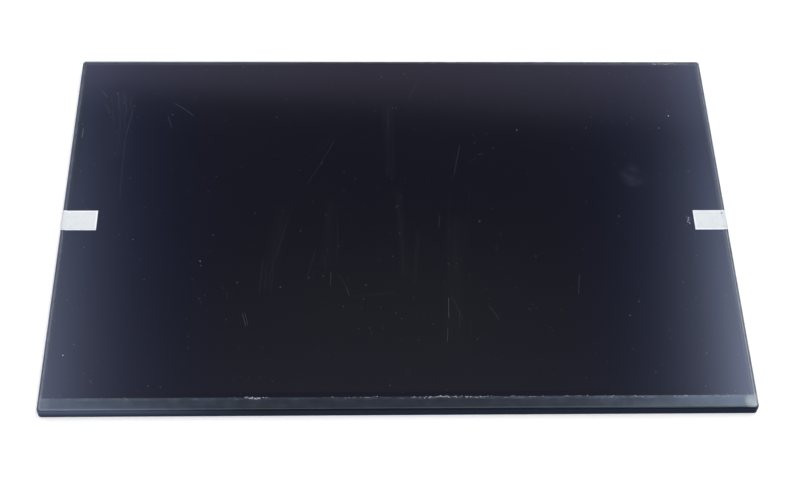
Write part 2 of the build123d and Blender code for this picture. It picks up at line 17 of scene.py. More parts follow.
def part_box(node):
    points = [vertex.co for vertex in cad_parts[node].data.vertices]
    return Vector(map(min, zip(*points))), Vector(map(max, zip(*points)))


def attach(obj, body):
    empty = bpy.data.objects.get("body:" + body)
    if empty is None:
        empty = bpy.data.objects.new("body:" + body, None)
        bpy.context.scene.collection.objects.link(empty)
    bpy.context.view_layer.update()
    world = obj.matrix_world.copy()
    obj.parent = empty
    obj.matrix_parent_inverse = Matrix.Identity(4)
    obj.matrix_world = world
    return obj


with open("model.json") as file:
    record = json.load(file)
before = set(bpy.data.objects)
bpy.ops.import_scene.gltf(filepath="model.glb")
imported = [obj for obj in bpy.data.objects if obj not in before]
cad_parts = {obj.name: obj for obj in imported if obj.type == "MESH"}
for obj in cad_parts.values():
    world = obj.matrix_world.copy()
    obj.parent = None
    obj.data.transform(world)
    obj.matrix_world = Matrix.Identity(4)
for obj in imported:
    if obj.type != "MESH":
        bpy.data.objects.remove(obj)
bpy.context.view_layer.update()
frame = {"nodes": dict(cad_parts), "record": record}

# %% [markdown]
# ## Where things are
# The origin is in the middle of the back. X runs along the lower edge, Y from the lower edge (near the
# viewer) to the upper one, and Z from the back to the screen. Blender works in metres, while a maker
# measures such a panel in millimetres, so MM turns one into the other. Heights are read from the CAD
# pieces, so that the marks laid on the screen later still touch it if the panel gets thicker.

# %% Levels of the screen and the bezel
MM = 0.001
film_low, film_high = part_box("front_polarizer")
FACE_LEVEL = film_high.z
LIP_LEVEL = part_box("front_bezel")[1].z
print("screen face at", round(FACE_LEVEL / MM, 2), "mm, bezel lip at", round(LIP_LEVEL / MM, 2), "mm")

# %% [markdown]
# ## The camera
# The photograph looks down on the panel from the side of its lower edge. The four outline lines of a
# 344 by 222 mm panel fix the place of the camera and its lens. A camera in Blender looks along its own
# -Z, so to_track_quat aims it, and a last small turn about that axis gives the roll of a hand-held shot.

# %% Set up the camera
CAMERA_PLACE = Vector((-20.706, -467.837, 642.247)) * MM
CAMERA_AIM = Vector((1.657, -18.2, 5.9)) * MM
CAMERA_ROLL = math.radians(2.168)
CAMERA_LENS = 68.80
SENSOR_WIDTH = 36.0

camera = bpy.data.objects.new("photo_camera", bpy.data.cameras.new("photo_camera"))
camera.data.lens = CAMERA_LENS
camera.data.sensor_width = SENSOR_WIDTH
camera.data.clip_start = 1 * MM
aimed = (CAMERA_AIM - CAMERA_PLACE).to_track_quat("-Z", "Y").to_matrix().to_4x4()
camera.matrix_world = Matrix.Translation(CAMERA_PLACE) @ aimed @ Matrix.Rotation(CAMERA_ROLL, 4, "Z")
bpy.context.scene.collection.objects.link(camera)
bpy.context.scene.camera = camera
bpy.context.scene.view_settings.view_transform = "Standard"
print("camera", round((CAMERA_AIM - CAMERA_PLACE).length, 3), "m from the screen")

# %% [markdown]
# ## Writing shader maths as sums
# A finish is mostly arithmetic: how far is this point from a scratch, how much dust lies here. Laying
# out Math nodes by hand hides that arithmetic. The small class Wire wraps one socket and gives it the
# usual operators, so `1 - mask` adds the node it needs. Board makes any other node in one call:
# its type, its settings, then its sockets.

# %% A socket that takes part in sums
class Wire:
    """One output socket; each operator adds one Math node to its board."""

    def __init__(self, board, socket):
        self.board = board
        self.socket = socket

    def math(self, operation, *others, clamp=False):
        return self.board.math(operation, self, *others, clamp=clamp)

    def __add__(self, other):
        return self.math("ADD", other)

    def __sub__(self, other):
        return self.math("SUBTRACT", other)

    def __rsub__(self, other):
        return self.board.math("SUBTRACT", other, self)

    def __mul__(self, other):
        return self.math("MULTIPLY", other)

    def __truediv__(self, other):
        return self.math("DIVIDE", other)

    def __rtruediv__(self, other):
        return self.board.math("DIVIDE", other, self)

    def __abs__(self):
        return self.math("ABSOLUTE")

    __radd__ = __add__
    __rmul__ = __mul__

    def most(self, other):
        return self.math("MAXIMUM", other)

    def least(self, other):
        return self.math("MINIMUM", other)

    def ease(self, low, high):
        """0 below low, 1 above high, and an S-shaped rise between them."""
        ends = {"Value": self, "From Min": low, "From Max": high}
        return self.board.node("ShaderNodeMapRange", {"interpolation_type": "SMOOTHSTEP"}, ends)


# %% A board of nodes
class Board:
    """A node tree with one method for any node."""

    def __init__(self, tree):
        self.tree = tree

    def feed(self, socket, value):
        if isinstance(value, Wire):
            self.tree.links.new(value.socket, socket)
        elif socket.type == "RGBA":
            socket.default_value = (*value[:3], 1.0)
        else:
            socket.default_value = value

    def node(self, kind, settings=None, sockets=None, out=0):
        made = self.tree.nodes.new(kind)
        for name, value in (settings or {}).items():
            setattr(made, name, value)
        for key, value in (sockets or {}).items():
            self.feed(made.inputs[key], value)
        return Wire(self, made.outputs[out]) if len(made.outputs) else made

    def math(self, operation, *values, clamp=False):
        settings = {"operation": operation, "use_clamp": clamp}
        return self.node("ShaderNodeMath", settings, dict(enumerate(values)))

    def axes(self, vector):
        """The three numbers of a vector."""
        parts = self.node("ShaderNodeSeparateXYZ", None, {"Vector": vector}).socket.node
        return [Wire(self, socket) for socket in parts.outputs]

    def mix(self, share, first, second, blend="MIX"):
        """First colour where share is 0, second where it is 1."""
        settings = {"data_type": "RGBA", "blend_type": blend, "clamp_factor": False}
        return self.node("ShaderNodeMix", settings, {0: share, 6: first, 7: second}, out=2)


print("shader maths ready")

# %% [markdown]
# ## The studio
# A glossy black screen is a mirror: what it shows is the room. In the photograph its far edge reflects
# a pale wall, its left and right edges reflect light panels, and its middle reflects a dark ceiling.
# Lamps could give those reflections, but their hard outlines would show. So the room is painted into
# the world as soft gradients on the direction of the ray. The slopes u and v say how far a ray leans to
# the right and to the back for each metre that it rises. The panels turn bluer towards the back, and
# panels and wall darken towards the floor, so that the screen stays dark when it is seen from low down.
# The camera itself sees plain white.

# %% Directions in the room
LOWEST_RISE = 0.06
WALL_FOOT, WALL_HEAD = 0.1, 0.5
FOOT_SHARE = 0.2

world = bpy.data.worlds.new("studio_room")
world.use_nodes = True
bpy.context.scene.world = world
room = Board(world.node_tree)
direction = room.node("ShaderNodeTexCoord", out="Generated")
lean_x, lean_y, rise = room.axes(direction)
rise = rise.most(LOWEST_RISE)
u = lean_x / rise
v = lean_y / rise
lit = rise.ease(WALL_FOOT, WALL_HEAD) * (1 - FOOT_SHARE) + FOOT_SHARE
print("walls are darkest below a rise of", WALL_FOOT)


# %% The light panels on both sides
RIGHT_NEAR, RIGHT_FAR = (2.13, 2.19, 2.27), (1.84, 2.00, 2.30)
LEFT_NEAR, LEFT_FAR = (1.17, 1.19, 1.30), (1.00, 1.13, 1.36)
RIGHT_PANEL = {"edge": 0.302, "softness": 0.025, "gain": 5.5, "most": 2.4}
LEFT_PANEL = {"edge": 0.238, "softness": 0.031, "gain": 5.0, "most": 2.2}
PANEL_BACK = 0.77
PANEL_LEAST = 0.7
PANEL_END = (0.40, 0.78)
PANEL_FRONT, FRONT_SHARE = (-0.2, 0.4), 0.6
PANEL_CUT = (-2.2, -1.2)
PANEL_DEEP = (0.58, 0.86)


def side_panel(lean, edge, softness, gain, most):
    """A light panel from a soft edge outwards, brighter towards the viewer."""
    skirt = ((lean - edge) / softness).least(0.0).math("EXPONENT")
    nearer = ((PANEL_BACK - v) * gain + 1).most(PANEL_LEAST).least(most)
    in_front = (v.ease(*PANEL_FRONT) * (1 - FRONT_SHARE) + FRONT_SHARE) * v.ease(*PANEL_CUT)
    return skirt * nearer * (1 - lean.ease(*PANEL_END)) * in_front * lit


deep = v.ease(*PANEL_DEEP)
right_light = (side_panel(u, **RIGHT_PANEL), room.mix(deep, RIGHT_NEAR, RIGHT_FAR))
left_light = (side_panel(-1 * u, **LEFT_PANEL), room.mix(deep, LEFT_NEAR, LEFT_FAR))
print("light panels start at slopes", RIGHT_PANEL["edge"], "and", -LEFT_PANEL["edge"])

# %% Paint the room
CEILING = (0.117, 0.109, 0.134)
FAR_WALL, FAR_ENDS = (0.71, 0.60, 0.62), (0.88, 0.76, 0.84)
FRONT_CEILING = (3.9, 3.8, 3.75)
HORIZON = (0.62, 0.63, 0.65)
WHITE = (1.0, 1.0, 1.0)
WALL_TILT = 0.085
WALL_EDGE, EDGE_SHARE = (0.856, 0.868), 0.38
WALL_START, WALL_RUN, WALL_SHARE = 0.865, 0.042, 0.48
ROOM_MIDDLE, ROOM_HALF = 0.033, 0.2
ABOVE_START, ABOVE_MOST = 0.75, 0.3
ABOVE_FADE = (-1.0, -0.1)
HORIZON_RISE, HORIZON_LEAN = (0.2, 0.62), (-0.5, 0.1)

edge = (v + u * WALL_TILT).ease(*WALL_EDGE) * EDGE_SHARE
wall = edge + ((v - WALL_START) / WALL_RUN).most(0.0).least(1.0) * WALL_SHARE
to_ends = abs(u - ROOM_MIDDLE).ease(0.0, ROOM_HALF)
above = (ABOVE_START - v).most(0.0).least(ABOVE_MOST)
horizon = (1 - rise.ease(*HORIZON_RISE)) * lean_y.ease(*HORIZON_LEAN)
lights = (
    right_light,
    left_light,
    (wall * lit, room.mix(to_ends, FAR_WALL, FAR_ENDS)),
    (above * above * v.ease(*ABOVE_FADE), FRONT_CEILING),
    (horizon * lit, HORIZON),
)
colour = CEILING
for share, light in lights:
    colour = room.mix(share, colour, light, "ADD")
to_camera = room.node("ShaderNodeLightPath", out="Is Camera Ray")
colour = room.mix(to_camera, colour, WHITE)
background = world.node_tree.nodes["Background"]
room.feed(background.inputs["Color"], colour)
print("room nodes:", len(world.node_tree.nodes))

# %% [markdown]
# ## Floor and key light
# The panel lies on a plain pale floor, a hair below its back. A white floor has to look white to the
# camera and still darken under the panel, so it is a diffuse sheet with a little glow of its own, which
# only camera, mirror and glass rays see. One soft lamp hangs above and in front of the panel: it
# draws the thin bright line along the bezel's fold and gives the floor its shadow.

# %% Lay the floor
FLOOR_HALF = 3.0
FLOOR_GAP = 0.1 * MM
FLOOR_COLOUR = (0.74, 0.74, 0.74)
FLOOR_GLOW = 0.38
GLOW_SEEN_BY = ("Is Camera Ray", "Is Glossy Ray", "Is Transmission Ray")

corners = [(x * FLOOR_HALF, y * FLOOR_HALF, -FLOOR_GAP) for x, y in ((-1, -1), (1, -1), (1, 1), (-1, 1))]
floor_mesh = bpy.data.meshes.new("studio_floor")
floor_mesh.from_pydata(corners, [], [(0, 1, 2, 3)])
floor = bpy.data.objects.new("studio_floor", floor_mesh)
bpy.context.scene.collection.objects.link(floor)
floor_paper = bpy.data.materials.new("floor_paper")
floor_paper.use_nodes = True
paper = Board(floor_paper.node_tree)
paper_shader = floor_paper.node_tree.nodes["Principled BSDF"]
paper.feed(paper_shader.inputs["Base Color"], FLOOR_COLOUR)
paper.feed(paper_shader.inputs["Specular IOR Level"], 0.0)
paper.feed(paper_shader.inputs["Emission Color"], WHITE)
rays = paper.node("ShaderNodeLightPath").socket.node
seen = [Wire(paper, rays.outputs[name]) for name in GLOW_SEEN_BY]
paper.feed(paper_shader.inputs["Emission Strength"], seen[0].most(seen[1]).most(seen[2]) * FLOOR_GLOW)
floor_mesh.materials.append(floor_paper)
print("floor", 2 * FLOOR_HALF, "m across")

# %% Hang the key light
KEY_PLACE = Vector((0.0, -0.25, 1.2))
KEY_SIZE = (1.0, 0.5)
KEY_POWER = 1.6

key = bpy.data.objects.new("key_softbox", bpy.data.lights.new("key_softbox", "AREA"))
key.data.shape = "RECTANGLE"
key.data.size, key.data.size_y = KEY_SIZE
key.data.energy = KEY_POWER
key.location = KEY_PLACE
bpy.context.scene.collection.objects.link(key)
print("key light", KEY_POWER, "W")

# %% [markdown]
# ## A finish
# Each material below is one Principled shader with a few patterns on it. The patterns read the object's
# own coordinates, which here are the real place on the panel, turned into millimetres. That keeps every
# size in the recipes a real one: a lump of noise 2.5 mm wide is 2.5 mm wide on the panel.

# %% A finish with patterns in millimetres
class Finish(Board):
    """A material on one Principled shader; mm is the place on the panel in millimetres."""

    def __init__(self, name, fixed):
        self.material = bpy.data.materials.new(name)
        self.material.use_nodes = True
        super().__init__(self.material.node_tree)
        self.shader = self.tree.nodes["Principled BSDF"]
        for socket, value in fixed.items():
            self.feed(self.shader.inputs[socket], value)
        place = self.node("ShaderNodeTexCoord", out="Object")
        scale = {"Vector": place, "Scale": 1 / MM}
        self.mm = self.node("ShaderNodeVectorMath", {"operation": "SCALE"}, scale)
        self.x, self.y, self.z = self.axes(self.mm)

    def noise(self, size, detail=2.0, stretch=(1, 1, 1)):
        """A cloudy 0-to-1 pattern with lumps of that size, drawn out along the stretched axes."""
        shrink = tuple(1 / (size * s) for s in stretch)
        at = self.node("ShaderNodeMapping", None, {"Vector": self.mm, "Scale": shrink})
        return self.node("ShaderNodeTexNoise", None, {"Vector": at, "Scale": 1.0, "Detail": detail}, out="Fac")

    def dots(self, spacing, radius):
        """1 inside scattered dots, 0 between them."""
        cells = {"Vector": self.mm, "Scale": 1 / spacing}
        away = self.node("ShaderNodeTexVoronoi", None, cells, out="Distance") * spacing
        return 1 - away.ease(0.5 * radius, radius)

    def stripes(self, across, pitch, share):
        """1 on parallel lines that take that share of each pitch."""
        step = (across / pitch).math("FRACT")
        return 1 - abs(step * 2 - 1).ease(share * 0.8, share * 1.2)

    def near(self, value, place, reach):
        """1 at that place, falling to 0 at reach on either side."""
        return 1 - abs(value - place).ease(0.0, reach)

    def square_from(self, across, along, place):
        """The square of the distance from a place on the panel."""
        return (across - place[0]).math("POWER", 2.0) + (along - place[1]).math("POWER", 2.0)

    def bump(self, height, depth):
        """Turns a height pattern into dents that deep, in millimetres."""
        dents = {"Height": height, "Distance": depth * MM, "Strength": 1.0}
        return self.node("ShaderNodeBump", None, dents)

    def give(self, **values):
        """Links patterns to the shader: colour, roughness, metallic or normal."""
        names = {"colour": "Base Color", "roughness": "Roughness", "metallic": "Metallic", "normal": "Normal"}
        for key, value in values.items():
            self.feed(self.shader.inputs[names[key]], value)


finishes = {}
print("finish helper ready")

# %% [markdown]
# ## The screen film
# The dark face is the front polarizer, a plastic film over the glass. It is almost black and glossy, and
# it has lived: hairline scratches, wiping streaks from top to bottom, a thumb smudge on the right and a
# fan of dried marks at the upper left, with dust along its borders. Along the sides that dust is painted
# lighter towards the right, where the light falls, and along the far border it carries a painted bluish
# sheen. The scratches could be cut into the mesh, but they are only a few hundredths of a millimetre
# deep, so they belong in the finish. Each row of the table is one stroke: where it starts and ends on the
# face, how far it bows, its half width and how pale it is.

# %% The scratches, in millimetres on the face
SCRATCHES = (
    (-119.6, 80.2, -108.2, 70.9, 0.4, 0.30, 0.0340), (-122.4, 71.6, -119.8, 62.7, 0.0, 0.25, 0.0255),
    (-166.9, 62.6, -167.1, 55.6, 0.0, 0.40, 0.0800), (-141.5, 75.3, -143.9, 56.3, 0.0, 0.35, 0.0175),
    (-144.1, 55.7, -143.6, 15.4, 0.0, 0.30, 0.0155), (-159.5, 89.1, -156.0, 84.2, 0.0, 0.45, 0.0295),
    (-157.0, 80.1, -154.0, 74.0, 0.0, 0.45, 0.0150), (-152.9, 76.0, -150.9, 65.4, 0.0, 0.40, 0.0090),
    (-148.8, 72.4, -146.6, 59.1, 0.0, 0.50, 0.0030), (-150.4, 88.3, -149.1, 74.7, 0.0, 0.60, 0.0115),
    (-146.9, 87.1, -144.4, 72.0, 0.0, 0.50, 0.0120), (-143.3, 83.8, -142.3, 75.3, 0.0, 0.45, 0.0080),
    (-145.7, 74.6, -144.4, 58.4, 0.0, 0.35, 0.0080), (-154.6, 86.0, -152.3, 77.3, 0.0, 0.60, 0.0036),
    (-31.6, 55.6, -46.9, 23.7, 0.6, 0.22, 0.0210), (-34.0, 55.6, -40.3, 45.9, 0.5, 0.20, 0.0100),
    (-36.7, 54.9, -48.2, 38.5, 0.5, 0.20, 0.0080), (-53.0, 13.2, -57.7, -4.2, 0.4, 0.22, 0.0065),
    (-57.2, -2.9, -62.3, -25.4, 0.5, 0.22, 0.0130), (-62.8, -25.4, -63.6, -49.0, 0.4, 0.22, 0.0075),
    (-57.1, -1.6, -62.8, -24.4, 0.4, 0.22, 0.0060), (-62.8, -24.4, -65.0, -41.7, 0.3, 0.22, 0.0060),
    (-67.9, -22.9, -69.1, -45.4, 0.0, 0.25, 0.0140), (-66.0, -25.6, -66.4, -42.7, 0.0, 0.22, 0.0110),
    (35.1, 51.3, 31.0, 29.5, 0.0, 0.25, 0.0295), (32.7, 48.6, 30.0, 35.0, 0.0, 0.20, 0.0080),
    (14.0, 95.5, 8.2, 83.8, 0.0, 0.60, 0.0150), (-32.8, 16.9, -35.6, -3.2, 0.0, 0.30, 0.0046),
    (-30.0, 0.2, -30.4, -24.9, 0.0, 0.30, 0.0105), (-41.1, -17.4, -45.4, -35.3, 0.0, 0.30, 0.0130),
    (-37.0, -19.9, -35.9, -32.3, 0.0, 0.30, 0.0090), (-33.4, -31.1, -33.6, -39.9, 0.0, 0.25, 0.0360),
    (-30.4, -32.3, -24.3, -46.2, 0.85, 0.25, 0.0160), (-22.1, -46.9, -0.2, -44.0, 0.0, 0.90, 0.0050),
    (22.7, 3.8, 21.9, -4.0, 0.0, 0.30, 0.0280), (28.6, 20.3, 25.2, -43.4, 0.0, 0.25, 0.0055),
    (39.4, 26.9, 34.8, -19.6, 0.4, 0.30, 0.0040), (10.8, -4.6, 7.9, -41.0, 0.0, 0.30, 0.0090),
    (11.9, -7.1, 9.1, -38.8, 0.0, 0.25, 0.0110), (-77.1, -55.9, -74.8, -64.1, 0.0, 0.30, 0.0440),
    (-76.0, -55.6, -73.9, -63.0, 0.0, 0.25, 0.0360), (25.4, -46.9, 25.0, -59.7, 0.0, 0.25, 0.0590),
    (24.4, -65.0, 23.8, -73.7, 0.0, 0.25, 0.0380), (26.8, -46.1, 32.3, -61.0, 0.0, 0.25, 0.0190),
    (30.4, -55.1, 30.2, -65.6, 0.0, 0.25, 0.0205), (35.7, -58.6, 35.4, -70.3, 0.0, 0.25, 0.0115),
    (45.0, -51.4, 50.2, -60.9, 0.0, 0.25, 0.0220), (46.8, -53.4, 49.6, -60.3, 0.0, 0.20, 0.0110),
    (92.2, -33.0, 90.6, -46.3, 0.0, 0.25, 0.0310), (-25.8, -40.8, -24.2, -46.5, 0.2, 0.25, 0.0220),
    (152.1, 2.3, 151.2, -0.9, 0.0, 0.40, 0.0700), (153.1, 1.7, 152.0, -1.9, 0.0, 0.35, 0.0600),
    (151.3, -0.6, 153.2, -2.5, 0.0, 0.35, 0.0500),
)
WIPES = (
    (-3.6, 79.0, -2.4, 28.0, 0.0, 4.00, 0.0030), (1.0, 22.0, 4.0, -37.0, 0.0, 3.50, 0.0030),
    (-33.0, 15.0, -36.0, -30.0, 0.0, 4.50, 0.0020), (-58.0, 10.0, -66.0, -44.0, 0.0, 6.00, 0.0022),
    (31.0, 5.0, 27.0, -75.0, 0.0, 6.00, 0.0020), (-148.0, 90.0, -147.0, 40.0, 0.0, 9.00, 0.0028),
)
print("scratches:", len(SCRATCHES), "wiping streaks:", len(WIPES))


# %% One stroke on the film
END_FADE = 4.0


def stroke(finish, row):
    """A bowed stroke: 1 on its middle line, 0 at its half width and at its two ends."""
    x0, y0, x1, y1, bow, half_width, pale = row
    half_length = math.hypot(x1 - x0, y1 - y0) / 2
    along_stroke = {
        "Vector": finish.mm,
        "Location": ((x0 + x1) / 2, (y0 + y1) / 2, 0.0),
        "Rotation": (0.0, 0.0, math.atan2(y1 - y0, x1 - x0)),
        "Scale": (half_length, half_width, 1.0),
    }
    turned = finish.node("ShaderNodeMapping", {"vector_type": "TEXTURE"}, along_stroke)
    along, across, _ = finish.axes(turned)
    inside = finish.math("SUBTRACT", 1.0, along * along, clamp=True)
    if bow:
        across = across - inside * (bow / half_width)
    ends = finish.math("MULTIPLY", inside, END_FADE, clamp=True)
    return finish.math("SUBTRACT", 1.0, abs(across), clamp=True) * ends * pale


# %% The film's tone, with a painted brown reflection in its lower middle
FILM_BLACK = (0.0026, 0.0027, 0.0055)
# A brown painted into the lower middle of the film as a reflection of warm light.
FILM_BROWN_REFLECTION = (0.0072, 0.0067, 0.0072)
FILM_NAVY = (0.0022, 0.0029, 0.0090)
FILM_BORDER = (0.0026, 0.0026, 0.0040)
PICTURE_HALF_WIDTH = 165.6
PICTURE_LOW, PICTURE_HIGH = -101.2, 105.8
BORDER_SOFT = 0.1
BROWN_BELOW, BROWN_HALF_WIDTH = (-60.0, 40.0), (30.0, 130.0)
NAVY_SIDES = (80.0, 135.0)

film = Finish("screen_film", {
    "Specular IOR Level": 0.75, "Specular Tint": (0.62, 0.70, 1.0), "IOR": 1.5,
})
cloud = film.noise(90.0, 1.0)
border = abs(film.x).ease(PICTURE_HALF_WIDTH - BORDER_SOFT, PICTURE_HALF_WIDTH + BORDER_SOFT)
border = border.most(film.y.ease(PICTURE_HIGH - BORDER_SOFT, PICTURE_HIGH + BORDER_SOFT))
border = border.most(1 - film.y.ease(PICTURE_LOW - BORDER_SOFT, PICTURE_LOW + BORDER_SOFT))
lower_middle = (1 - film.y.ease(*BROWN_BELOW)) * (1 - abs(film.x).ease(*BROWN_HALF_WIDTH))
# The lower middle turns to the painted brown reflection; the cloud varies it at random.
tone = film.mix(lower_middle * 0.7 + cloud * 0.3, FILM_BLACK, FILM_BROWN_REFLECTION)
tone = film.mix(abs(film.x).ease(*NAVY_SIDES), tone, FILM_NAVY)
tone = film.mix(border, tone, FILM_BORDER)
print("film tone nodes:", len(film.tree.nodes))

# %% Marks, dust and painted light on the film
SCRATCH_PALE = (0.92, 0.95, 1.0)
# Pale bluish tint along the far border: dust, and a painted bluish sheen that is stronger to the right.
FAR_DUST_AND_SHEEN = (0.62, 0.78, 1.0)
SMUDGE_PLACE, SMUDGE_REACH = (126.1, 29.9), 9.5
GRIT_SPACING, GRIT_RADIUS = 2.1, 0.11
SIDE_DUST_AND_LIGHT = (168.4, 170.1)
FAR_DUST_SHEEN_WIDE, FAR_DUST_SHEEN_NARROW = (106.8, 108.9), (108.2, 108.9)
FAR_HALF_WIDTH, FAR_RIGHT = (20.0, 110.0), (60.0, 150.0)

streaks = film.noise(1.4, 3.0, stretch=(1, 40, 1))
blotches = film.noise(14.0, 3.0)
fine = film.noise(0.35, 1.0)
from_smudge = film.square_from(film.x, film.y, SMUDGE_PLACE)
smudge = (1 - (from_smudge / SMUDGE_REACH ** 2).ease(-0.3, 0.9)) * blotches.ease(0.25, 0.75) * 1.6
wiped = sum(stroke(film, row) for row in WIPES) * (0.5 + streaks.ease(0.35, 0.75) * 0.8)
grit = film.dots(GRIT_SPACING, GRIT_RADIUS) * fine.ease(0.45, 0.6) * 0.03
marks = sum(stroke(film, row) for row in SCRATCHES) * (fine * 0.6 + 0.3)
# Dust along the side borders, painted lighter towards the right, where the light falls.
side_dust_and_light = abs(film.x).ease(*SIDE_DUST_AND_LIGHT) * (film.x * 0.00009 + 0.028) * (0.5 + fine)
far_ends = abs(film.x).ease(*FAR_HALF_WIDTH)
# Dust along the far border together with a painted bluish sheen, stronger towards the right.
far_dust_and_sheen = film.y.ease(*FAR_DUST_SHEEN_WIDE) * (far_ends * 0.016 + film.x.ease(*FAR_RIGHT) * 0.014 + 0.004)
far_dust_and_sheen = far_dust_and_sheen + film.y.ease(*FAR_DUST_SHEEN_NARROW) * far_ends * 0.05
haze_and_sheen = marks + wiped + grit + side_dust_and_light + smudge * 0.0030 + streaks.ease(0.6, 0.85) * 0.0012
film.give(
    colour=film.mix(far_dust_and_sheen, film.mix(haze_and_sheen, tone, SCRATCH_PALE, "ADD"), FAR_DUST_AND_SHEEN, "ADD"),
    roughness=0.065 + blotches * 0.02 + (marks * 6.0 + smudge * 0.08 + wiped * 4.0).least(0.3),
)
finishes["screen_face"] = film.material
print("screen film nodes:", len(film.tree.nodes))

# %% [markdown]
# ## The bezel's paint
# The bezel is a thin steel frame, drawn over the edge of the glass and blackened. Its top and its rims
# carry a painted dark bluish sheen and a pale bluish haze that is partly painted sheen, while the walls
# are painted dull black as shade. On the wide lower lip that painted shade starts just over the fold, so
# the front of the panel is its darkest line, apart from a pale thread along the fold, partly wear and
# partly a painted highlight, and a painted highlight on the wall at the left. Dust lies on the narrow
# rims, most of all on the far one, and on the lip's corners; it is painted heavier towards the right and
# at the right corner, where the light falls, and it lifts the far rim's shaded inner wall. Dirt clings
# along the lip's inner edge, where a cloth doesn't reach.

# %% Blackened steel with a painted sheen on top and painted shade on the walls
# The walls are painted darker as shade and the top lighter as a sheen.
BEZEL_WALL_SHADE = (0.007, 0.010, 0.019)
BEZEL_TOP_SHEEN = (0.047, 0.055, 0.058)
FOLD_TOP = (5.3, 6.1)
RIM_WALL_TOP = (4.6, 5.5)
FRONT_FOLD = (-110.4, -109.2)
RIM_SIDE = (169.9, 170.5)
RIM_BACK = (108.9, 109.3)

bezel = Finish("bezel_paint", {"Specular Tint": (0.65, 0.70, 0.80)})
mottle = bezel.noise(6.0, 3.0)
sheen_streaks = bezel.noise(0.4, 2.0, stretch=(50, 1, 1))
out_x = abs(bezel.x)
behind_fold = bezel.y.ease(*FRONT_FOLD)
on_top = bezel.z.ease(*FOLD_TOP).most(bezel.z.ease(*RIM_WALL_TOP) * behind_fold)
rims = out_x.ease(*RIM_SIDE).most(bezel.y.ease(*RIM_BACK)) * behind_fold
# A painted sheen on the top; the stretched streaks only vary it.
painted_sheen = on_top * (0.9 + (mottle - 0.5) * 0.4 + (sheen_streaks - 0.5) * 0.3)
steel_sheen_and_shade = bezel.mix(painted_sheen, BEZEL_WALL_SHADE, BEZEL_TOP_SHEEN)
print("blackened steel nodes:", len(bezel.tree.nodes))

# %% Haze, dirt and painted light on the lip
BEZEL_HAZE_AND_SHEEN = (0.29, 0.37, 0.58)
LIP_EDGE, DIRT_REACH = -104.9, 1.1
SPOT_SPACING, SPOT_RADIUS = 2.3, 0.14
LIP_ENDS = (80.0, 175.0)
FOLD_LINE, FOLD_HIGHLIGHT_REACH = -109.9, 0.5
WEAR_AND_HIGHLIGHT_STRETCH = (-60.0, 100.0)
LEFT_END, LEFT_WALL = (60.0, 172.0), (1.5, 5.5)

broken = bezel.noise(2.6, 4.0)
dirt = bezel.near(bezel.y, LIP_EDGE, DIRT_REACH) * (broken.ease(0.45, 0.75) + 0.2)
spots = bezel.dots(SPOT_SPACING, SPOT_RADIUS) * broken.ease(0.5, 0.6)
# Laid on the top only and grown at the rims and the lip's ends: partly haze, partly painted sheen.
haze_and_sheen = 0.090 + rims * 0.04 + out_x.ease(*LIP_ENDS) * 0.01
on_lip = on_top * (behind_fold * 0.85 + 0.15)
# A pale line along the fold, growing to the right: partly wear, partly a painted highlight on the fold.
worn_fold_and_highlight = bezel.near(bezel.y, FOLD_LINE, FOLD_HIGHLIGHT_REACH) * bezel.x.ease(*WEAR_AND_HIGHLIGHT_STRETCH) * (0.3 + broken) * 0.09
# A painted highlight: the left end of the lip and its wall are painted paler, most towards the top.
left_end = (-1 * bezel.x).ease(*LEFT_END) * (1 - behind_fold)
left_wall_highlight = left_end * (0.06 + bezel.z.ease(*LEFT_WALL) * 0.17)
pale = (dirt * 0.13 + spots * 0.4 + haze_and_sheen * (0.6 + mottle * 0.8)) * on_lip
pale = (pale + worn_fold_and_highlight + left_wall_highlight).least(1.0)
print("with haze and dirt:", len(bezel.tree.nodes))

# %% Dust and painted light on the rims and corners
RIM_DUST_AND_LIGHT = (0.34, 0.36, 0.35)
INNER_WALL, INNER_REACH = 109.3, 0.25
RIGHT_HALF, FRONT_HALF = (-60.0, 172.0), (-100.0, 100.0)
CORNER_PLACE, CORNER_REACH = (170.0, -107.5), 5.5

peel = bezel.noise(0.45, 1.0)
far_rim = bezel.y.ease(*RIM_BACK) + bezel.near(bezel.y, INNER_WALL, INNER_REACH) * 1.5
to_right = bezel.x.ease(*RIGHT_HALF)
to_front = 1 - bezel.y.ease(*FRONT_HALF)
# Dust on the rims, painted heavier to the right, where the light falls, and lifting the far inner wall's
# shade.
rim_dust_and_light = rims * on_top * (0.05 + to_right * 0.10 + to_front * 0.08 + far_rim * 0.16) * (0.5 + mottle)
from_corner = bezel.square_from(out_x, bezel.y, CORNER_PLACE)
corner = (1 - (from_corner / CORNER_REACH ** 2).ease(0.0, 1.0)) * (broken + 0.5)
# The corner patch is dust and a painted highlight, stronger at the right corner.
rim_dust_and_light = rim_dust_and_light + corner * on_top * (bezel.x * 0.0011 + 0.26)
bezel.give(
    colour=bezel.mix(rim_dust_and_light, bezel.mix(pale, steel_sheen_and_shade, BEZEL_HAZE_AND_SHEEN), RIM_DUST_AND_LIGHT),
    metallic=(1 - pale) * (1 - rim_dust_and_light),
    roughness=0.16 + (mottle - 0.5) * 0.06 + (1 - on_top) * 0.2 + pale * 0.3,
    normal=bezel.bump(peel, 0.003),
)
finishes["bezel_paint"] = bezel.material
print("bezel paint nodes:", len(bezel.tree.nodes))

# %% [markdown]
# ## The white tape tabs
# Two short pieces of white tape lap from the sides onto the screen. Tape like this is a coated film with
# a slight mottle from the glue below it, and paler along its cut edges. A grey line along a crease is
# painted shade. Over the rim it is stretched thin and a little grey shows through. The right one has a
# small dark spot near its outer corner.

